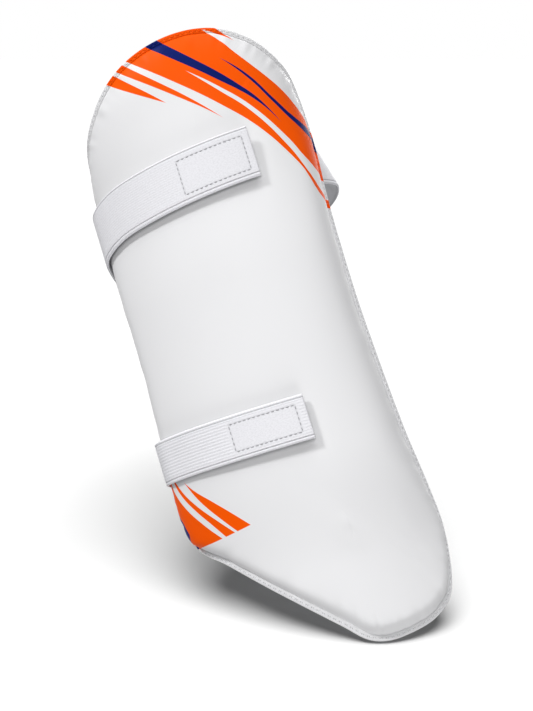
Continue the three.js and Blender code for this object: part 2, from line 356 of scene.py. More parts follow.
# Gathers of the facing along the seam, and the slight unevenness of the foam
GATHERS = [{"waves": 61, "size": 0.16}, {"waves": 97, "size": 0.1}, {"waves": 37, "size": 0.12}]
GATHER_REACH = 11
UNEVEN = [{"across": 0.031, "up": 0.024, "size": 0.22}, {"across": -0.055, "up": 0.047, "size": 0.12}]


def softness(up, reach, across, turn):
    """Small heights of cloth over foam: gathers along the seam and an uneven middle."""
    gather = sum(g["size"] * np.sin(2 * math.pi * g["waves"] * turn + g["waves"]) for g in GATHERS)
    gather = gather * dip(reach - SEAM_END - GATHER_REACH / 3, GATHER_REACH / 2)
    uneven = sum(u["size"] * np.sin(u["across"] * across + u["up"] * up + u["size"]) for u in UNEVEN)
    return gather + uneven * smoothstep(reach, SEAM_END, SEAM_END + THIGH_PAD["roll"])


def facing_lift(up, reach, across, turn, swell):
    inside = np.clip((reach - SEAM_END) / (reach[:, -1:] - SEAM_END), 0, 1)
    plain = crown_lift(up, reach, across) - seam_depth(reach) - rim_edge(reach)
    return plain + softness(up, reach, across, turn) + swell_at(swell, turn, inside)


def rim_line(side, reach, lift):
    """Places (across, up) and points in metres along one half of the rim, from the top to the tip."""
    across, up, _ = half_places(side, [reach], [1])
    return across[:, 0], up[:, 0], sheet_point(across[:, 0], up[:, 0], lift)


def stitch_count(side):
    """Number of stitches from the top down to each row of one half."""
    _, _, points = rim_line(side, STITCH_REACH, FLANGE_THICKNESS)
    lengths = running_length(points)
    return HALF_STITCHES * lengths / lengths[-1]


# Meshes

WELD_DISTANCE = 1e-6


def weld(points, faces):
    """Joins points that coincide: kept points, each point's new place, and the faces that are left."""
    cells = np.round(points / WELD_DISTANCE)
    _, first, place = np.unique(cells, axis=0, return_index=True, return_inverse=True)
    place = place.reshape(-1)
    joined = []
    for face in faces:
        ring = [place[corner] for corner in face]
        ring = [corner for index, corner in enumerate(ring) if corner != ring[index - 1]]
        if len(set(ring)) > 2:
            joined.append(ring)
    return first, place, joined


def mesh_piece(name, points, faces, marks):
    """Smooth mesh object; marks are values kept at each point, as numbers or as places."""
    mesh = bpy.data.meshes.new(name)
    mesh.from_pydata([tuple(point) for point in points], [], [tuple(int(c) for c in face) for face in faces])
    for mark, values in marks.items():
        values = np.asarray(values, np.float32)
        if values.ndim == 1:
            mesh.attributes.new(mark, "FLOAT", "POINT").data.foreach_set("value", values)
        else:
            mesh.attributes.new(mark, "FLOAT_VECTOR", "POINT").data.foreach_set("vector", values.ravel())
    mesh.polygons.foreach_set("use_smooth", np.ones(len(mesh.polygons), bool))
    mesh.update()
    piece = bpy.data.objects.new(name, mesh)
    bpy.context.scene.collection.objects.link(piece)
    return piece


def grid_faces(rows, columns, first, flipped):
    index = first + np.arange(rows * columns).reshape(rows, columns)
    quads = np.stack([index[:-1, :-1], index[:-1, 1:], index[1:, 1:], index[1:, :-1]], -1).reshape(-1, 4)
    return quads[:, ::-1] if flipped else quads


def tube_faces(index, flipped=False):
    """Sides and ends of a closed tube: index holds a row of points for each of its rings."""
    turned = np.roll(index, -1, axis=1)
    sides = np.stack([index[:-1], index[1:], turned[1:], turned[:-1]], -1).reshape(-1, 4)
    ends = [index[0], index[-1][::-1]]
    if flipped:
        sides, ends = sides[:, [0, 3, 2, 1]], [end[::-1] for end in ends]
    return sides.tolist() + [end.tolist() for end in ends]


def sheet_piece(name, front, back):
    """Closed piece between a front and a back face of the pattern, each (reaches, field shares, lift)."""
    points, faces, flats, counts, rims = [], [], [], [], {}
    count = 0
    for side in (-1, 1):
        turn = rim_share(side, np.linspace(0, 1, ROW_COUNT + 1))[:, None]
        for facing, (reaches, field, lift_at) in (("front", front), ("back", back)):
            across, up, reach = half_places(side, reaches, field)
            points.append(sheet_point(across, up, lift_at(up, reach, across, turn)).reshape(-1, 3))
            flats.append(np.stack([across, up, reach], -1).reshape(-1, 3))
            counts.append(np.broadcast_to(stitch_count(side)[:, None], across.shape).ravel())
            rows, columns = across.shape
            faces.append(grid_faces(rows, columns, count, (side > 0) != (facing == "front")))
            rims[facing] = count + np.arange(rows) * columns
            count += rows * columns
        wall = np.stack([rims["front"][:-1], rims["front"][1:], rims["back"][1:], rims["back"][:-1]], -1)
        faces.append(wall if side > 0 else wall[:, ::-1])
    points, flats = np.vstack(points), np.vstack(flats)
    kept, _, joined = weld(points, [face for group in faces for face in group.tolist()])
    flats = flats[kept]
    # The seam groove's depth is kept so that painted shade can darken the groove
    marks = {"flat": flats * MM, "groove_shade": seam_depth(flats[:, 2]), "stitch": np.concatenate(counts)[kept]}
    return mesh_piece(name, points[kept], joined, marks)


# The facing swells under the foam's pressure, held by the rim seam and by the straps
SWELL_ROWS = 102
SWELL_COLUMNS = 24
SWELL_FRAMES = 20
SWELL_PRESSURE = 4
SWELL_CAP = 1.2
STRAP_HOLD = 2


def held_by_strap(across, up):
    held = np.zeros(across.shape, bool)
    for strap in STRAPS:
        near = np.abs(up - strap_height(strap, across)) < strap["width"] / 2 + STRAP_HOLD
        held |= near & (across < strap["free_end"] + STRAP_HOLD)
    return held


def simulated(sheet, held):
    """Points of a cloth sheet after it has swollen, held at some of its points."""
    sewn = sheet.vertex_groups.new(name="sewn")
    sewn.add([int(index) for index in np.flatnonzero(held)], 1, "REPLACE")
    cloth = sheet.modifiers.new("swell", "CLOTH")
    cloth.settings.vertex_group_mass = sewn.name
    cloth.settings.use_pressure = True
    cloth.settings.uniform_pressure_force = SWELL_PRESSURE
    cloth.settings.effector_weights.gravity = 0
    cloth.collision_settings.use_collision = False
    cloth.point_cache.frame_start, cloth.point_cache.frame_end = 1, SWELL_FRAMES
    scene = bpy.context.scene
    for number in range(1, SWELL_FRAMES + 1):
        scene.frame_set(number)
    result = sheet.evaluated_get(bpy.context.evaluated_depsgraph_get()).data
    moved = np.array([tuple(vertex.co) for vertex in result.vertices])
    scene.frame_set(1)
    bpy.data.objects.remove(sheet)
    return moved


def facing_swell():
    """Outward movement of a simulated facing, in millimetres: rows round the rim, columns in to the spine."""
    shares = np.linspace(0, 1, SWELL_COLUMNS + 1)[1:]
    points, outward, held, faces, count = [], [], [], [], 0
    for side in (1, -1):
        across, up, reach = half_places(side, [SEAM_END], shares, SWELL_ROWS)
        lift = crown_lift(up, reach, across)
        points.append(sheet_point(across, up, lift).reshape(-1, 3))
        outward.append((sheet_point(across, up, lift + 1) / MM).reshape(-1, 3) - points[-1] / MM)
        held.append(((reach <= SEAM_END) | held_by_strap(across, up)).ravel())
        faces += grid_faces(*across.shape, count, side < 0).tolist()
        count += across.size
    points, outward, held = np.vstack(points), np.vstack(outward), np.concatenate(held)
    kept, place, joined = weld(points, faces)
    moved = simulated(mesh_piece("facing_sheet", points[kept], joined, {}), held[kept])
    moves = np.sum((moved[place] - points) * outward, axis=1) / MM
    right, left = np.clip(moves, 0, SWELL_CAP).reshape(2, SWELL_ROWS + 1, SWELL_COLUMNS + 1)
    return np.vstack([right, left[::-1][1:]])


def swell_at(swell, turn, inside):
    """Movement at shares round the rim and in from the seam."""
    row = np.clip(turn * (len(swell) - 1), 0, len(swell) - 1)
    column = inside * SWELL_COLUMNS
    near, left = np.floor(row).astype(int), np.floor(column).astype(int)
    far, right = np.minimum(near + 1, len(swell) - 1), np.minimum(left + 1, SWELL_COLUMNS)
    first = mix(swell[near, left], swell[near, right], column - left)
    second = mix(swell[far, left], swell[far, right], column - left)
    return mix(first, second, row - near)


# Distances inside the rim at which a face has points, closest at its rounded edge and its seam,
# and the shares of what is left, in to the spine
EDGE_REACHES = [0, 0.08, 0.3, 0.6, 1.0, 1.3, 1.6, 2.0, 2.4, 2.7, 3.0, 3.2, 3.4, 3.6, 3.8, 4.0, 4.2, 4.4]
ROLL_SHARES = [0.004, 0.016, 0.04, 0.08, 0.14, 0.22, 0.32, 0.44, 0.58, 0.78, 1]
LEG_REACHES = [10, 15, 22]
FLAT_REACHES = [0, SEAM_END, 14]
FIELD_SHARES = np.linspace(0, 1, 19)[1:]
FLAT_SHARES = np.linspace(0, 1, 9)[1:]


def flat_face(lift):
    """Plain hidden face, where pad and lining meet."""
    return FLAT_REACHES, FLAT_SHARES, lambda up, reach, across, turn: np.full_like(reach, lift)


def padded_face():
    swell = facing_swell()
    reaches = EDGE_REACHES + [SEAM_END + share * THIGH_PAD["roll"] for share in ROLL_SHARES]

    def face_lift(up, reach, across, turn):
        return facing_lift(up, reach, across, turn, swell)

    return sheet_piece("padded_face", (reaches, FIELD_SHARES, face_lift), flat_face(0))


def lining_panel():
    def leg_lift(up, reach, across, turn):
        return -LEG_SIDE + rim_edge(reach) + seam_depth(reach) - softness(up, reach, across, turn)

    leg_face = (EDGE_REACHES + LEG_REACHES, FIELD_SHARES, leg_lift)
    return sheet_piece("lining_panel", flat_face(-PIECE_GAP), leg_face)


# Straps

RIM_SAMPLES = 400


def left_rim_at(up):
    places = RIM.at(rim_share(-1, np.linspace(0, 1, RIM_SAMPLES)))
    places = places[places[:, 0] < 0][::-1]
    return np.interp(up, places[:, 1], places[:, 0])


def strap_height(strap, across):
    past = np.maximum(DROOP_FROM - across, 0)
    return strap["height"] + strap["rise"] * across - strap["droop"] * past ** 2


def pad_under_strap(strap, across):
    """Highest lift of the pad's face under the width of a strap."""
    middle = strap_height(strap, across)
    heights = [middle + share * strap["width"] / 2 for share in (-1, 0, 1)]
    return max(crown_lift(up, across - left_rim_at(up), across) for up in heights)


def strap_route(strap):
    """Middle line of a strap, in millimetres in the part's frame, and the across values of its front run."""
    half = STRAP_THICKNESS / 2
    fastener_gap = FASTENER_THICKNESS + 2 * PIECE_GAP
    rim = left_rim_at(strap["height"])
    shoulder = rim + SEAM_END + SHOULDER_SHARE * pad_size("roll", strap["height"])
    front_across = spaced(strap["free_end"], shoulder, ROUTE_STEP)
    front = []
    for across in front_across:
        share = smoothstep(across, shoulder, strap["fastener_from"])
        lift = pad_under_strap(strap, across) + mix(STRAP_SHOULDER_GAP, fastener_gap, share) + half
        front.append(sheet_point(across, strap_height(strap, across), lift) / MM)
    left_height = front[-1][2] - strap["loop_drop"]
    right_height = strap["height"] - SEAT_HEIGHT
    loop = []
    for angle in np.linspace(math.pi, 0, LOOP_POINTS):
        side = math.cos(angle)
        x = side * strap["loop_left" if side < 0 else "loop_right"]
        y = strap["loop_start"] - LEG_SIDE + strap["loop_depth"] * math.sin(angle)
        loop.append((x, y, mix(left_height, right_height, (side + 1) / 2)))
    sewn_lift = -LEG_SIDE - STRAP_SEWN_GAP - half
    sewn = [
        sheet_point(across, strap["height"], sewn_lift) / MM
        for across in spaced(strap["sewn_to"], strap["sewn_from"], ROUTE_STEP)
    ]
    return np.vstack([front, loop, sewn]), front_across


# Sections of a strap: close together at its rounded ends and along its stitched free end
ROUTE_SAMPLES = 4000
END_ROUND = 0.9
END_SHARES = np.array([0.04, 0.12, 0.25])
END_PINCH = 0.97
FINE_STEP = 0.5
FINE_LENGTH = 62
LONG_STEP = 2.2


class StrapLine:
    """Sections of a strap: place, outward and upward direction and across value along its length."""

    def __init__(self, strap):
        knots, front_across = strap_route(strap)
        shares = np.linspace(0, 1, ROUTE_SAMPLES)
        path = SmoothCurve(knots).at(shares)
        lengths = running_length(path)
        self.total = lengths[-1]
        fine = np.arange(0, FINE_LENGTH, FINE_STEP)
        ends = END_SHARES * END_ROUND
        long = spaced(FINE_LENGTH, self.total, LONG_STEP)
        self.length = np.unique(np.concatenate([ends, fine, long, self.total - ends]))
        self.point = interpolated(self.length, lengths, path)
        along = interpolated(self.length, lengths, np.gradient(path, axis=0)[:, :2])
        along /= np.linalg.norm(along, axis=1, keepdims=True)
        share = self.length / self.total
        lean = smoothstep(share, *LEAN_RISE) - smoothstep(share, *LEAN_FALL)
        lean = (lean * math.radians(strap["loop_lean"]))[:, None]
        level = np.stack([-along[:, 1], along[:, 0], np.zeros(len(along))], -1)
        upright = np.array([0, 0, 1.0])
        self.outward = level * np.cos(lean) + upright * np.sin(lean)
        self.upward = upright * np.cos(lean) - level * np.sin(lean)
        knot_shares = np.arange(len(front_across)) / (len(knots) - 1)
        front_lengths = np.interp(knot_shares, shares, lengths)
        past = self.length - front_lengths[-1]
        self.across = np.interp(self.length, front_lengths, front_across) - np.maximum(past, 0)

    def place(self, across, width_place, lift):
        """Places on the front run, in metres, and the outward direction there."""
        order = np.argsort(self.across)
        known = self.across[order]
        tables = (self.point, self.outward, self.upward)
        point, outward, upward = (interpolated(across, known, table[order]) for table in tables)
        width_place, lift = np.broadcast_arrays(width_place, lift)
        return (point + outward * lift[..., None] + upward * width_place[..., None]) * MM, outward


def box_distance(strap, across, width_place):
    """Distance outside (positive) or inside (negative) the stitched box of a strap."""
    middle = (strap["fastener_from"] + strap["fastener_to"]) / 2
    half_length = (strap["fastener_to"] - strap["fastener_from"]) / 2
    half_width = strap["width"] / 2 - FASTENER_INSET
    past_length = np.abs(across - middle) - half_length
    past_width = np.abs(width_place) - half_width
    outside = np.hypot(np.maximum(past_length, 0), np.maximum(past_width, 0))
    return outside + np.minimum(np.maximum(past_length, past_width), 0)


def strap_relief(strap, across, width_place):
    """Depth of the hems and the box seam, and height of the ribs, on the outer face of a strap."""
    half = strap["width"] / 2
    box = box_distance(strap, across, width_place)
    seams = BOX_DEPTH * dip(box, BOX_SPREAD)
    plain = smoothstep(box, *RIB_FADE_AT_BOX)
    for hem in strap["hems"]:
        inside = half - hem["inset"] - hem["side"] * width_place
        seams = seams + hem["depth"] * dip(inside, HEM_SPREAD)
        plain = plain * smoothstep(inside, *RIB_FADE_AT_HEM)
    ribs = strap["rib_depth"] * np.cos(2 * math.pi * width_place / strap["rib_pitch"]) * plain
    return seams, ribs


# Points over a strap's width: at its rounded edges, and evenly over its outer and inner face
EDGE_INSETS = np.array([0, 0.1, 0.35])
OUTER_FACE = {"inset": 0.7, "steps": 120}
INNER_FACE = {"inset": 0.8, "steps": 24}


def width_places(half, edges, face):
    even = np.linspace(face["inset"] - half, half - face["inset"], face["steps"])
    return np.concatenate([edges - half, even, half - edges[::-1]])


def elastic_strap(strap, line):
    half = strap["width"] / 2
    outer = width_places(half, EDGE_INSETS, OUTER_FACE)[::-1]
    inner = width_places(half, EDGE_INSETS[1:], INNER_FACE)
    width_place = np.concatenate([outer, inner])[None, :]
    face = np.concatenate([np.ones(len(outer)), -np.ones(len(inner))])[None, :]
    edge_share = np.clip((np.abs(width_place) - half + STRAP_EDGE) / STRAP_EDGE, 0, 1)
    end = np.minimum(line.length, line.total - line.length)
    end_share = 1 - np.clip(end / END_ROUND, 0, 1)
    thickness = STRAP_THICKNESS / 2 * np.sqrt(1 - edge_share ** 2)
    thickness = thickness * np.sqrt(1 - END_PINCH * end_share ** 2)[:, None]
    seams, ribs = strap_relief(strap, line.across[:, None], width_place)
    relief = np.where(face > 0, ribs - seams, 0) * (1 - edge_share)
    lift = face * thickness + relief
    length, width_place, face = np.broadcast_arrays(line.length[:, None], width_place, face)
    points = line.point[:, None] + line.outward[:, None] * lift[..., None]
    points = points + line.upward[:, None] * width_place[..., None]
    weave = np.stack([length, width_place, face], -1).reshape(-1, 3)
    # Painted shade along the hem grooves and the box seam, darker where they are deeper
    groove_shade = np.where(face > 0, seams, 0) * (1 - edge_share)
    marks = {"weave": weave * MM, "groove_shade": groove_shade.ravel()}
    faces = tube_faces(np.arange(lift.size).reshape(lift.shape))
    return mesh_piece(f"{strap['name']}_elastic", points.reshape(-1, 3) * MM, faces, marks)


# Touch tapes: gaps inside the stitched box, points along and over them, and the bristles of their faces
TAPE = {"side_gap": 0.2, "end_gap": 0.3, "rows": 90, "columns": 40, "skin": 0.15}
BRISTLE = {"height": 0.12, "along": 9.1, "over": 8.3}


def hook_strip(strap, line):
    """Two touch tapes face to face between a strap's end and the pad, with bristly faces."""
    half_width = strap["width"] / 2 - FASTENER_INSET - TAPE["side_gap"]
    start, end = strap["fastener_to"] - TAPE["end_gap"], strap["fastener_from"] + TAPE["end_gap"]
    across = np.linspace(start, end, TAPE["rows"])[:, None]
    outer = np.linspace(half_width, -half_width, TAPE["columns"])
    width_place = np.concatenate([outer, -outer])[None, :]
    face = np.repeat([1, -1], TAPE["columns"])[None, :]
    middle = -STRAP_THICKNESS / 2 - PIECE_GAP - FASTENER_THICKNESS / 2
    bristle = BRISTLE["height"] * np.sin(across * BRISTLE["along"]) * np.sin(width_place * BRISTLE["over"])
    lift = middle + face * (FASTENER_THICKNESS / 2 - TAPE["skin"]) + bristle
    across, width_place, face = np.broadcast_arrays(across, width_place, face)
    points, _ = line.place(across, width_place, lift)
    weave = np.stack([across, width_place, face], -1).reshape(-1, 3)
    marks = {"weave": weave * MM, "groove_shade": np.zeros(lift.size)}
    faces = tube_faces(np.arange(lift.size).reshape(lift.shape))
    return mesh_piece(f"{strap['name']}_hook_strip", points.reshape(-1, 3), faces, marks)


# Thread: the profile of a stitch from end to end, its height and girth in radii
THREAD_SIDES = 6
THREAD_STATIONS = np.array([0, 0.12, 0.3, 0.5, 0.7, 0.88, 1])
THREAD_HEIGHT = np.array([-0.7, 0.1, 0.45, 0.55, 0.45, 0.1, -0.7])
THREAD_GIRTH = np.array([0.5, 0.85, 1, 1, 1, 0.85, 0.5])


def stitches(name, runs, size):
    """One mesh of stitches along runs: points and normals in metres, flat places and maybe a number."""
    points, faces, flats, count = [], [], [], 0
    radius = size["radius"] * MM
    ring = np.linspace(0, 2 * math.pi, THREAD_SIDES, endpoint=False)[None, :, None]
    for run in runs:
        lengths = running_length(run["points"]) / MM
        number = run.get("number") or max(round(lengths[-1] / size["pitch"]), 1)
        pitch = lengths[-1] / number
        for start in (np.arange(number) + 0.5) * pitch - size["length"] / 2:
            where = start + THREAD_STATIONS * size["length"]
            tables = (run["points"], run["normals"], run["flat"])
            centre, normal, flat = (interpolated(where, lengths, table) for table in tables)
            normal /= np.linalg.norm(normal, axis=1, keepdims=True)
            along = centre[-1] - centre[0]
            across = np.cross(along / np.linalg.norm(along), normal)
            centre = centre + normal * (THREAD_HEIGHT * radius)[:, None]
            spokes = normal[:, None] * np.cos(ring) + across[:, None] * np.sin(ring)
            points.append((centre[:, None] + spokes * (THREAD_GIRTH * radius)[:, None, None]).reshape(-1, 3))
            flats.append(np.repeat(flat, THREAD_SIDES, axis=0))
            index = count + np.arange(len(where) * THREAD_SIDES).reshape(len(where), THREAD_SIDES)
            faces += tube_faces(index, flipped=True)
            count += index.size
    return mesh_piece(name, np.vstack(points), faces, {"flat": np.vstack(flats) * MM})


def rim_runs(lift, outward):
    """The seam down both halves of the rim, on the face or on the leg side."""
    runs = []
    for side in (1, -1):
        across, up, points = rim_line(side, STITCH_REACH, lift)
        normals = (sheet_point(across, up, lift + outward) - points) / MM
        flat = np.stack([across, up, np.full(len(up), SEAM_END)], -1)
        runs.append({"points": points, "normals": normals, "flat": flat, "number": HALF_STITCHES})
    return runs


def box_sides(strap, start, end):
    """Across and height values along the four sides of a stitched box on a strap."""
    half = strap["width"] / 2 - FASTENER_INSET
    corners = [(start, half), (end, half), (end, -half), (start, -half), (start, half)]
    share = np.linspace(0, 1, BOX_SIDE_POINTS)
    for (across, height), (next_across, next_height) in zip(corners, corners[1:]):
        yield mix(across, next_across, share), mix(height, next_height, share)


def box_run(across, height, points, normals):
    return {"points": points, "normals": normals, "flat": np.stack([across, height, 0 * across], -1)}


def fastener_runs(strap, line):
    """The box of stitches round a strap's fastener, on its outer face."""
    lift = STRAP_THICKNESS / 2 - BOX_SEAT
    sides = box_sides(strap, strap["fastener_from"], strap["fastener_to"])
    return [box_run(across, height, *line.place(across, height, lift)) for across, height in sides]


def sewn_runs(strap):
    """The box of stitches that holds a strap's sewn end, on its leg side."""
    start = strap["sewn_from"] + SEWN_BOX["inset"]
    lift = -LEG_SIDE - STRAP_SEWN_GAP - STRAP_THICKNESS
    runs = []
    for across, height in box_sides(strap, start, start + SEWN_BOX["length"]):
        up = height + strap["height"]
        points = sheet_point(across, up, lift)
        normals = (sheet_point(across, up, lift - 1) - points) / MM
        runs.append(box_run(across, up, points, normals))
    return runs


# Materials

class Nodes:
    """Adds nodes to a tree and joins them."""

    def __init__(self, tree):
        self.tree = tree

    def add(self, kind, inputs=None, **settings):
        node = self.tree.nodes.new(kind)
        for name, value in settings.items():
            setattr(node, name, value)
        for name, value in (inputs or {}).items():
            self.feed(node.inputs[name], value)
        return node

    def feed(self, socket, value):
        if isinstance(value, bpy.types.NodeSocket):
            self.tree.links.new(value, socket)
        else:
            socket.default_value = value

    def math(self, operation, *values, clamp=False):
        node = self.add("ShaderNodeMath", operation=operation, use_clamp=clamp)
        for socket, value in zip(node.inputs, values):
            self.feed(socket, value)
        return node.outputs[0]

    def blend(self, share, low, high, kind="MIX"):
        node = self.add("ShaderNodeMix", data_type="RGBA", blend_type=kind)
        sockets = {socket.identifier: socket for socket in (*node.inputs, *node.outputs)}
        for label, value in (("Factor_Float", share), ("A_Color", low), ("B_Color", high)):
            self.feed(sockets[label], value)
        return sockets["Result_Color"]

    def mark(self, name, output):
        """A value kept at each point of the mesh."""
        return self.add("ShaderNodeAttribute", attribute_name=name).outputs[output]

    def split(self, vector):
        return self.add("ShaderNodeSeparateXYZ", {"Vector": vector}).outputs

    def bump(self, height, strength, depth):
        inputs = {"Height": height, "Strength": strength, "Distance": depth}
        return self.add("ShaderNodeBump", inputs).outputs[0]


def new_group(name, inputs, outputs):
    tree = bpy.data.node_groups.new(name, "ShaderNodeTree")
    for label, value in inputs.items():
        tree.interface.new_socket(label, in_out="INPUT", socket_type="NodeSocketFloat").default_value = value
    for label in outputs:
        tree.interface.new_socket(label, in_out="OUTPUT", socket_type="NodeSocketFloat")
    nodes = Nodes(tree)
    given = nodes.add("NodeGroupInput").outputs
    result = nodes.add("NodeGroupOutput").inputs
    return tree, nodes, given, result


# Edges of stripes run over shares of a window on the flat pattern
PRINT_ACROSS = (-100, 100)
PRINT_UP = (0, 410)
PRINT_SOFTNESS = 0.3


def print_share(value, window):
    return (value - window[0]) / (window[1] - window[0])


def stripe_group():
    """Mask of the band between two edges of a printed stripe."""
    tree, nodes, given, result = new_group("printed stripe", {"Up": 0, "Upper": 1, "Lower": 0}, ["Mask"])
    sharpness = (PRINT_UP[1] - PRINT_UP[0]) / PRINT_SOFTNESS
    below = nodes.math("SUBTRACT", given["Upper"], given["Up"])
    above = nodes.math("SUBTRACT", given["Up"], given["Lower"])
    masks = [nodes.math("MULTIPLY_ADD", gap, sharpness, 0.5, clamp=True) for gap in (below, above)]
    nodes.feed(result["Mask"], nodes.math("MULTIPLY", *masks))
    return tree


def stripe_edge(nodes, across, places):
    """Height of an edge at an across share: a smooth curve through places."""
    node = nodes.add("ShaderNodeFloatCurve", {"Value": across})
    node.mapping.use_clip = False
    node.mapping.extend = "EXTRAPOLATED"
    points = node.mapping.curves[0].points
    while len(points) < len(places):
        points.new(0, 0)
    for point, place in zip(points, places):
        point.location = (print_share(place[0], PRINT_ACROSS), print_share(place[1], PRINT_UP))
    node.mapping.update()
    return node.outputs[0]


# Crossing threads: how far a crossing stands out, how even the threads are, and their tones
WEAVE = {"crossing": 0.25, "noise_scale": 0.9, "noise_detail": 2.0, "tone_range": 0.36, "tone_low": 0.79}


def weave_group():
    """Crossing threads: height and tone from lengthwise and crosswise coordinates in metres."""
    inputs = {"Along": 0, "Across": 0, "Pitch Along": 0.001, "Pitch Across": 0.001}
    tree, nodes, given, result = new_group("crossing threads", inputs, ["Height", "Tone"])
    turns = [nodes.math("DIVIDE", given[name], given[f"Pitch {name}"]) for name in ("Along", "Across")]
    waves = [nodes.math("SINE", nodes.math("MULTIPLY", turn, 2 * math.pi)) for turn in turns]
    crossing = nodes.math("MULTIPLY", *waves)
    place = nodes.add("ShaderNodeCombineXYZ", {"X": turns[0], "Y": turns[1]}).outputs[0]
    noise = {"Vector": place, "Scale": WEAVE["noise_scale"], "Detail": WEAVE["noise_detail"]}
    uneven = nodes.add("ShaderNodeTexNoise", noise).outputs[0]
    height = nodes.math("MULTIPLY_ADD", crossing, WEAVE["crossing"], uneven)
    nodes.feed(result["Height"], height)
    tone = nodes.math("MULTIPLY_ADD", height, WEAVE["tone_range"], WEAVE["tone_low"], clamp=True)
    nodes.feed(result["Tone"], tone)
    return tree


# Leather grain: small cells with a fine unevenness, and broad faint blotches
GRAIN = {"cell_height": 0.7, "cell_randomness": 0.9, "fine_detail": 2.0}
BLOTCH = {"scale": 14.0, "detail": 4.0, "tone_range": 0.06, "tone_low": 0.97}


def grain_group():
    """Fine leather grain: height of the small cells and a soft uneven tone."""
    tree, nodes, given, result = new_group("fine grain", {"Cell Size": 0.001}, ["Height", "Tone"])
    place = nodes.add("ShaderNodeTexCoord").outputs["Object"]
    cell = {"Vector": place, "Scale": nodes.math("DIVIDE", 1.0, given["Cell Size"])}
    cells = nodes.add("ShaderNodeTexVoronoi", {**cell, "Randomness": GRAIN["cell_randomness"]})
    fine = nodes.add("ShaderNodeTexNoise", {**cell, "Detail": GRAIN["fine_detail"]})
    height = nodes.math("MULTIPLY_ADD", cells.outputs["Distance"], GRAIN["cell_height"], fine.outputs[0])
    nodes.feed(result["Height"], height)
    noise = {"Vector": place, "Scale": BLOTCH["scale"], "Detail": BLOTCH["detail"]}
    broad = nodes.add("ShaderNodeTexNoise", noise).outputs[0]
    tone = nodes.math("MULTIPLY_ADD", broad, BLOTCH["tone_range"], BLOTCH["tone_low"], clamp=True)
    nodes.feed(result["Tone"], tone)
    return tree


def hole_group():
    """Mask of the needle holes at both ends of each stitch of a seam, where painted shade goes."""
    inputs = {"Stitch": 0, "Reach": 0, "Pitch": 0.004, "Length": 0.0025}
    tree, nodes, given, result = new_group("needle holes", inputs, ["Mask"])
    middle = nodes.math("ABSOLUTE", nodes.math("SUBTRACT", nodes.math("FRACT", given["Stitch"]), 0.5))
    end = nodes.math("MULTIPLY", given["Length"], 0.5)
    along = nodes.math("SUBTRACT", nodes.math("MULTIPLY", middle, given["Pitch"]), end)
    across = nodes.math("SUBTRACT", given["Reach"], STITCH_REACH * MM)
    place = nodes.add("ShaderNodeCombineXYZ", {"X": along, "Y": across})
    distance = nodes.add("ShaderNodeVectorMath", operation="LENGTH")
    nodes.feed(distance.inputs[0], place.outputs[0])
    share = nodes.math("DIVIDE", distance.outputs["Value"], HOLE["radius"] * MM)
    nodes.feed(result["Mask"], nodes.math("MULTIPLY_ADD", share, -HOLE["fade"], HOLE["core"], clamp=True))
    return tree


GROUPS = {"stripe": stripe_group(), "weave": weave_group(), "grain": grain_group(), "holes": hole_group()}


def place_group(nodes, name, inputs):
    node = nodes.add("ShaderNodeGroup", node_tree=GROUPS[name])
    for label, value in inputs.items():
        nodes.feed(node.inputs[label], value)
    return node.outputs


def new_finish(name):
    material = bpy.data.materials.new(name)
    material.use_nodes = True
    material.node_tree.nodes.clear()
    nodes = Nodes(material.node_tree)
    shader = nodes.add("ShaderNodeBsdfPrincipled")
    nodes.add("ShaderNodeOutputMaterial", {"Surface": shader.outputs[0]})
    return material, nodes, shader.inputs


def opaque(colour):
    return (*colour, 1.0)


def toned(nodes, colour, *tones):
    """Colour times some tones."""
    for tone in tones:
        colour = nodes.blend(1.0, colour, tone, "MULTIPLY")
    return colour


def painted_groove_shade(nodes, darkness):
    """Painted shade in the thread lines and grooves: 1 on open cloth, darker the deeper a groove is."""
    return nodes.math("MULTIPLY_ADD", nodes.mark("groove_shade", "Fac"), -darkness, 1.0, clamp=True)


def painted_hole_shade(nodes, reach):
    """Painted shade of a seam's needle holes: 1 beside them, dark inside them."""
    inputs = {"Stitch": nodes.mark("stitch", "Fac"), "Reach": reach, "Length": RIM_STITCH["length"] * MM}
    mask = place_group(nodes, "holes", inputs)["Mask"]
    return nodes.math("MULTIPLY_ADD", mask, HOLE["tone"] - 1, 1.0)


# Coated leather: cell size and relief in metres, gloss, how dark the painted shade in its seam groove is, and
# how the grain changes its roughness
LEATHER = {"cell": 0.0009, "relief": 0.0001, "bump": 0.12, "gloss": 0.05, "groove_shade_darkness": 0.08}
LEATHER_ROUGHNESS = {"low": 0.34, "range": 0.1}


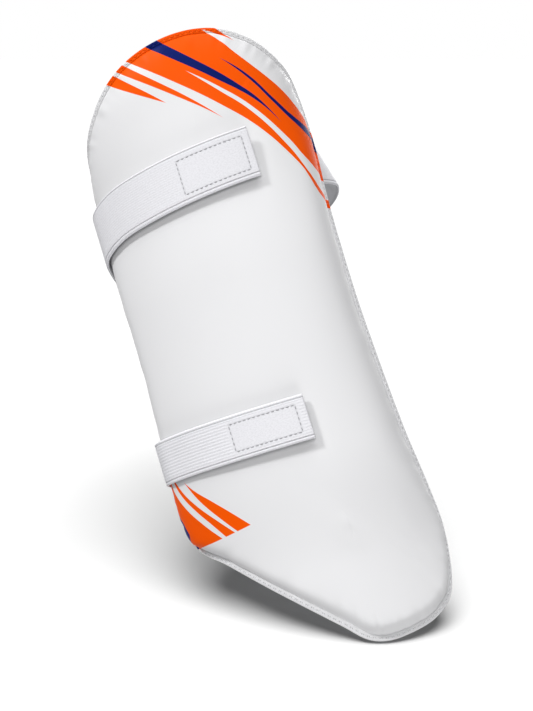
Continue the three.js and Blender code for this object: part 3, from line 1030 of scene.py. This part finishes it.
def facing_finish():
    material, nodes, shader = new_finish("printed_facing")
    flat = nodes.split(nodes.mark("flat", "Vector"))
    shares = []
    for socket, window in ((flat["X"], PRINT_ACROSS), (flat["Y"], PRINT_UP)):
        scale = 1 / (window[1] - window[0])
        shares.append(nodes.math("MULTIPLY_ADD", socket, scale / MM, -window[0] * scale))
    across, up = shares

    def stripe_mask(stripe):
        edges = {edge.capitalize(): stripe_edge(nodes, across, stripe[edge]) for edge in ("upper", "lower")}
        return place_group(nodes, "stripe", {"Up": up, **edges})["Mask"]

    colour = opaque(PAINTS["white"])
    for stripe in STRIPES:
        colour = nodes.blend(stripe_mask(stripe), colour, opaque(PAINTS[stripe["paint"]]))
    window = stripe_mask(FAN_WINDOW)
    for stripe in FAN_STRIPES:
        mask = nodes.math("MULTIPLY", window, stripe_mask(stripe))
        colour = nodes.blend(mask, colour, opaque(PAINTS[stripe["paint"]]))
    grain = place_group(nodes, "grain", {"Cell Size": LEATHER["cell"]})
    tones = (grain["Tone"], painted_groove_shade(nodes, LEATHER["groove_shade_darkness"]), painted_hole_shade(nodes, flat["Z"]))
    nodes.feed(shader["Base Color"], toned(nodes, colour, *tones))
    uneven = (grain["Height"], LEATHER_ROUGHNESS["range"], LEATHER_ROUGHNESS["low"])
    nodes.feed(shader["Roughness"], nodes.math("MULTIPLY_ADD", *uneven))
    nodes.feed(shader["Normal"], nodes.bump(grain["Height"], LEATHER["bump"], LEATHER["relief"]))
    shader["Specular IOR Level"].default_value = LEATHER["gloss"]
    return material


# Woven cloths: the mark that their threads follow, pitches and relief in metres, how dark their painted
# groove shade is, their fuzz, and the painted shade that darkens their leg side
CLOTHS = {
    "knitted_lining": {
        "threads": "flat", "colour": (0.74, 0.75, 0.77), "pitch_along": 0.0016, "pitch_across": 0.0012,
        "relief": 0.0003, "groove_shade_darkness": 0.3, "fuzz": 0.2, "leg_side_painted_shade": 1.0,
    },
    # The elastic's leg side is painted at half tone: painted shade for the inside of its loops
    "woven_elastic": {
        "threads": "weave", "colour": (0.87, 0.868, 0.905), "pitch_along": 0.0011, "pitch_across": 0.0008,
        "relief": 0.00012, "groove_shade_darkness": 0.9, "fuzz": 0.1, "leg_side_painted_shade": 0.5,
    },
    "touch_tape": {
        "threads": "weave", "colour": (0.75, 0.75, 0.78), "pitch_along": 0.0009, "pitch_across": 0.0009,
        "relief": 0.0003, "groove_shade_darkness": 0.3, "fuzz": 0.2, "leg_side_painted_shade": 1.0,
    },
}
CLOTH_ROUGHNESS = 0.9
CLOTH_BUMP = 0.6
FUZZ_ROUGHNESS = 0.5


def cloth_finish(name):
    """Woven cloth with threads along and across the piece's own directions, and painted shade darkening its
    leg side.
    """
    cloth = CLOTHS[name]
    material, nodes, shader = new_finish(name)
    weave = nodes.split(nodes.mark(cloth["threads"], "Vector"))
    inputs = {"Along": weave["X"], "Across": weave["Y"]}
    inputs.update({"Pitch Along": cloth["pitch_along"], "Pitch Across": cloth["pitch_across"]})
    threads = place_group(nodes, "weave", inputs)
    # The leg side gets painted shade
    leg_side = nodes.math("LESS_THAN", weave["Z"], 0.0)
    painted_leg_shade = nodes.math("MULTIPLY_ADD", leg_side, cloth["leg_side_painted_shade"] - 1, 1.0)
    tones = (threads["Tone"], painted_groove_shade(nodes, cloth["groove_shade_darkness"]), painted_leg_shade)
    nodes.feed(shader["Base Color"], toned(nodes, opaque(cloth["colour"]), *tones))
    nodes.feed(shader["Normal"], nodes.bump(threads["Height"], CLOTH_BUMP, cloth["relief"]))
    shader["Roughness"].default_value = CLOTH_ROUGHNESS
    shader["Sheen Weight"].default_value = cloth["fuzz"]
    shader["Sheen Roughness"].default_value = FUZZ_ROUGHNESS
    return material


# Twisted thread: its colours, white and a grey that is painted shade of the box seams, its plies, their tones
# and their relief in metres
THREADS = {"white_thread": (0.88, 0.88, 0.88), "painted_shade_thread": (0.42, 0.42, 0.44)}
PLY = {"scale": 900.0, "distortion": 2.0, "tone_range": 0.2, "tone_low": 0.85, "bump": 0.5, "relief": 0.0001}
THREAD_ROUGHNESS = 0.6


def thread_finish(name):
    material, nodes, shader = new_finish(name)
    place = nodes.add("ShaderNodeTexCoord").outputs["Object"]
    wave = {"Vector": place, "Scale": PLY["scale"], "Distortion": PLY["distortion"]}
    ply = nodes.add("ShaderNodeTexWave", wave).outputs["Fac"]
    tone = nodes.math("MULTIPLY_ADD", ply, PLY["tone_range"], PLY["tone_low"])
    nodes.feed(shader["Base Color"], toned(nodes, opaque(THREADS[name]), tone))
    nodes.feed(shader["Normal"], nodes.bump(ply, PLY["bump"], PLY["relief"]))
    shader["Roughness"].default_value = THREAD_ROUGHNESS
    return material


pieces = []


def dress(piece, material, slot, *nodes):
    pieces.append(piece)
    piece.data.materials.append(material)
    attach(piece, "root")
    if nodes:
        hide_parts(*nodes)


# Assembly

facing = facing_finish()
lining = cloth_finish("knitted_lining")
elastic = cloth_finish("woven_elastic")
hooks = cloth_finish("touch_tape")
white_thread = thread_finish("white_thread")
painted_shade_thread = thread_finish("painted_shade_thread")

pad = padded_face()
dress(pad, facing, "facing", "pad_front")
panel = lining_panel()
dress(panel, lining, "backing", "back_panel")

face_runs = rim_runs(FLANGE_THICKNESS - STITCH_SEAT, 1)
dress(stitches("rim_stitches", face_runs, RIM_STITCH), facing, "facing")
leg_runs = rim_runs(-LEG_SIDE + STITCH_SEAT, -1)
dress(stitches("lining_stitches", leg_runs, RIM_STITCH), white_thread, "backing")

for strap in STRAPS:
    line = StrapLine(strap)
    name = strap["name"]
    dress(elastic_strap(strap, line), elastic, "elastic", f"{name}_strap")
    dress(hook_strip(strap, line), hooks, "fastener", f"{name}_fastener")
    # The box seams are stitched in grey thread: painted shade of the seam lines
    dress(stitches(f"{name}_box_stitches", fastener_runs(strap, line), BOX_STITCH), painted_shade_thread, "elastic")
    dress(stitches(f"{name}_sewn_stitches", sewn_runs(strap), BOX_STITCH), white_thread, "elastic")


# Floor, light and camera, in metres: the guard leans in the photo, so its floor is level with the picture
CAMERA_PLACE = (0.1589, -0.8401, -0.1194)
CAMERA_AZIMUTH = math.radians(10)
CAMERA_ELEVATION = math.radians(-6.8)
CAMERA_ROLL = math.radians(17.3)
CAMERA_LENS = 70.0
CAMERA_SENSOR = 36.0
FLOOR_PITCH = math.radians(17)
FLOOR_HALF = 4.0
FLOOR_GAP = 0.0005
FLOOR_PAINT = {"grey": 0.4, "roughness": 0.9}
WORLD_FILL = 0.18

# Soft boxes and far lights with their strengths: places are where they hang, or the way to them
SOFT_BOXES = [
    {"name": "key_light", "energy": 5.2, "size": 0.55, "place": (0.2, -1.42, 0.4)},
    {"name": "low_light", "energy": 33.0, "size": 1.6, "place": (0.3, -0.85, -2.55)},
    {"name": "rim_light", "energy": 4.5, "size": 0.8, "place": (0.6, 1.0, 0.45)},
    {"name": "back_light", "energy": 9.5, "size": 0.45, "place": (0.3, 1.1, 0.8)},
]
OVERHEAD_LIGHT = {"name": "overhead_light", "energy": 1.65, "spread": math.radians(42)}
SIDE_LIGHT = {"name": "side_light", "energy": 1.8, "spread": math.radians(9)}
SIDE_WAY = (-0.7, -1.04, 1.56)
FLOOR_LIGHT = {"name": "floor_light", "energy": 8.2, "spread": math.radians(50)}
FLOOR_LIGHT_BACK = 0.27
FLOOR_LIGHT_RIGHT = -0.09


def camera_axes():
    """Right, up and back of the camera in the part's frame."""
    level = np.array([math.cos(CAMERA_AZIMUTH), math.sin(CAMERA_AZIMUTH), 0])
    ahead = np.array([-math.sin(CAMERA_AZIMUTH), math.cos(CAMERA_AZIMUTH), 0])
    upright = np.array([0, 0, 1])
    back = upright * math.sin(CAMERA_ELEVATION) - ahead * math.cos(CAMERA_ELEVATION)
    plumb = upright * math.cos(CAMERA_ELEVATION) + ahead * math.sin(CAMERA_ELEVATION)
    right = level * math.cos(CAMERA_ROLL) - plumb * math.sin(CAMERA_ROLL)
    up = plumb * math.cos(CAMERA_ROLL) + level * math.sin(CAMERA_ROLL)
    return right, up, back


CAMERA_RIGHT, CAMERA_UP, CAMERA_BACK = camera_axes()


def studio_camera():
    data = bpy.data.cameras.new("camera")
    data.lens = CAMERA_LENS
    data.sensor_width = CAMERA_SENSOR
    camera = bpy.data.objects.new("camera", data)
    axes = Matrix([CAMERA_RIGHT, CAMERA_UP, CAMERA_BACK]).transposed().to_4x4()
    camera.matrix_world = Matrix.Translation(CAMERA_PLACE) @ axes
    bpy.context.scene.collection.objects.link(camera)
    bpy.context.scene.camera = camera


def floor_finish():
    """Plain floor, clear when it is looked at from below."""
    material, nodes, shader = new_finish("studio_floor")
    shader["Base Color"].default_value = opaque([FLOOR_PAINT["grey"]] * 3)
    shader["Roughness"].default_value = FLOOR_PAINT["roughness"]
    shader["Specular IOR Level"].default_value = 0.0
    output = material.node_tree.get_output_node("ALL").inputs["Surface"]
    painted = output.links[0].from_socket
    seen = nodes.add("ShaderNodeLightPath").outputs["Is Camera Ray"]
    underside = nodes.add("ShaderNodeNewGeometry").outputs["Backfacing"]
    both = nodes.add("ShaderNodeMixShader", {"Fac": nodes.math("MULTIPLY", underside, seen)})
    clear = nodes.add("ShaderNodeBsdfTransparent").outputs[0]
    for socket, surface in zip(both.inputs[1:], (painted, clear)):
        nodes.feed(socket, surface)
    nodes.feed(output, both.outputs[0])
    return material


def studio_floor(pieces):
    """Pale floor just under the lowest point of the pieces, as the picture's level has it, and its normal."""
    normal = CAMERA_UP * math.cos(FLOOR_PITCH) + CAMERA_BACK * math.sin(FLOOR_PITCH)
    forward = np.cross(normal, CAMERA_RIGHT)
    places = np.vstack([[tuple(vertex.co) for vertex in piece.data.vertices] for piece in pieces])
    foot = places[np.argmin(places @ normal)] - normal * FLOOR_GAP
    signs = ((-1, -1), (1, -1), (1, 1), (-1, 1))
    corners = [foot + FLOOR_HALF * (x * CAMERA_RIGHT + y * forward) for x, y in signs]
    mesh = bpy.data.meshes.new("studio_floor")
    mesh.from_pydata([tuple(corner) for corner in corners], [], [(0, 1, 2, 3)])
    floor = bpy.data.objects.new("studio_floor", mesh)
    bpy.context.scene.collection.objects.link(floor)
    mesh.materials.append(floor_finish())
    floor.visible_diffuse = False
    floor.visible_shadow = False
    return floor, normal


def studio_world():
    """Pale surround: white where the camera looks past the object, dim as light."""
    world = bpy.data.worlds.new("studio")
    world.use_nodes = True
    world.node_tree.nodes.clear()
    nodes = Nodes(world.node_tree)
    seen = nodes.add("ShaderNodeLightPath").outputs["Is Camera Ray"]
    strength = nodes.math("MULTIPLY_ADD", seen, 1.0 - WORLD_FILL, WORLD_FILL)
    light = nodes.add("ShaderNodeBackground", {"Color": (1, 1, 1, 1), "Strength": strength})
    nodes.add("ShaderNodeOutputWorld", {"Surface": light.outputs[0]})
    bpy.context.scene.world = world


def lit_group(name, pieces):
    """What a lamp lights."""
    group = bpy.data.collections.new(name)
    for piece in pieces:
        group.objects.link(piece)
    return group


def lamp(light, place, lit):
    """Hangs a lamp that points at the guard."""
    holder = bpy.data.objects.new(light.name, light)
    aim = Vector(place).to_track_quat("Z", "Y")
    holder.matrix_world = Matrix.Translation(place) @ aim.to_matrix().to_4x4()
    holder.light_linking.receiver_collection = lit
    bpy.context.scene.collection.objects.link(holder)


def soft_box(name, energy, size, place, lit):
    light = bpy.data.lights.new(name, "AREA")
    light.energy = energy
    light.size = size
    lamp(light, place, lit)


def far_light(name, energy, spread, way, lit):
    light = bpy.data.lights.new(name, "SUN")
    light.energy = energy
    light.angle = spread
    lamp(light, way, lit)


studio_camera()
studio_world()
floor, overhead = studio_floor([pad, panel])
guard = lit_group("guard", pieces)
for box in SOFT_BOXES:
    soft_box(**box, lit=guard)
far_light(**OVERHEAD_LIGHT, way=overhead, lit=guard)
far_light(**SIDE_LIGHT, way=SIDE_WAY, lit=guard)
floor_way = overhead + FLOOR_LIGHT_BACK * CAMERA_BACK + FLOOR_LIGHT_RIGHT * CAMERA_RIGHT
far_light(**FLOOR_LIGHT, way=floor_way, lit=lit_group("stage", [floor]))
bpy.context.scene.view_settings.view_transform = "Standard"
